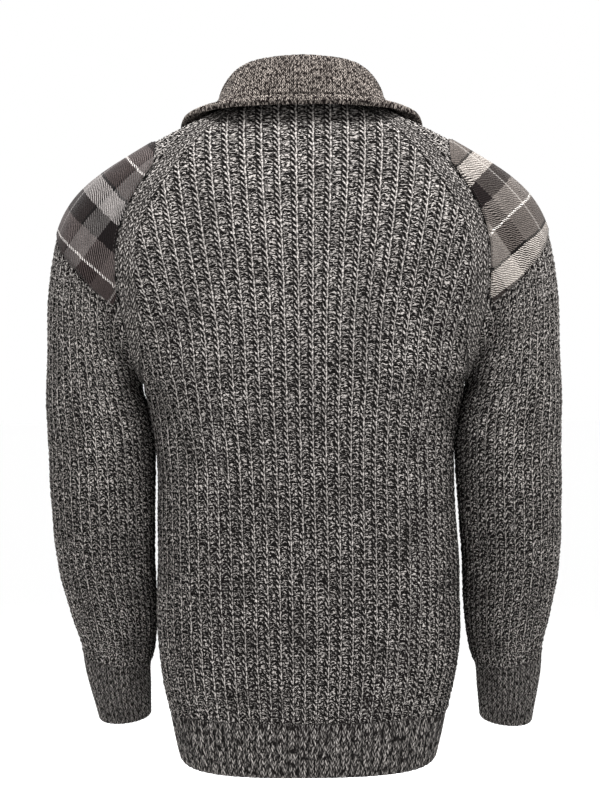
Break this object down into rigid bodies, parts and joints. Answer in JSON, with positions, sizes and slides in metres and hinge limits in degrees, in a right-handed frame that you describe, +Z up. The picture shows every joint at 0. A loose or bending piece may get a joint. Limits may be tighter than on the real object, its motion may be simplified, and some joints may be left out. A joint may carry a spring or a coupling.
{
  "type": "zip neck sweater",
  "caption": "Heavy ribbed wool pullover with raglan sleeves, a fold-over collar with a short neck zip, and tartan shoulder patches; filled out and hollow.",
  "frame": {"origin": "inside the neck on the centre line, level with the tops of the shoulders, where the wearer's neck and shoulders hold the garment", "axes": "+X to the wearer's left, +Y to the wearer's back, +Z up"},
  "size_m": [0.563, 0.2702, 0.7644],
  "materials": {
    "marled_wool": "marled grey wool in a deep rib knit, matte",
    "band_wool": "marled wool in a finer rib, matte",
    "collar_wool": "fine knit marled wool, warmer grey-brown, matte",
    "tartan_wool": "brushed woollen twill in a brown and grey tartan",
    "tape_weave": "close black woven tape",
    "zip_metal": "dull cast metal"
  },
  "bodies": {
    "garment": {"back_panel": "marled_wool", "front_panel": "marled_wool", "sleeve_left": "marled_wool", "sleeve_right": "marled_wool", "cuff_left": "band_wool", "cuff_right": "band_wool", "hem_band": "band_wool", "collar": "collar_wool", "shoulder_patch_left": "tartan_wool", "shoulder_patch_right": "tartan_wool", "zip_tape_left": "tape_weave", "zip_tape_right": "tape_weave", "zip_slider": "zip_metal", "zip_stop": "zip_metal"},
    "pull": {"zip_pull": "zip_metal"}
  },
  "joints": [
    {"name": "pull_swing", "type": "hinge", "parent": "garment", "child": "pull", "pos_m": [0, -0.12333, -0.09198], "axis": [-1, 0, 0], "range_deg": [0, 140]}
  ]
}
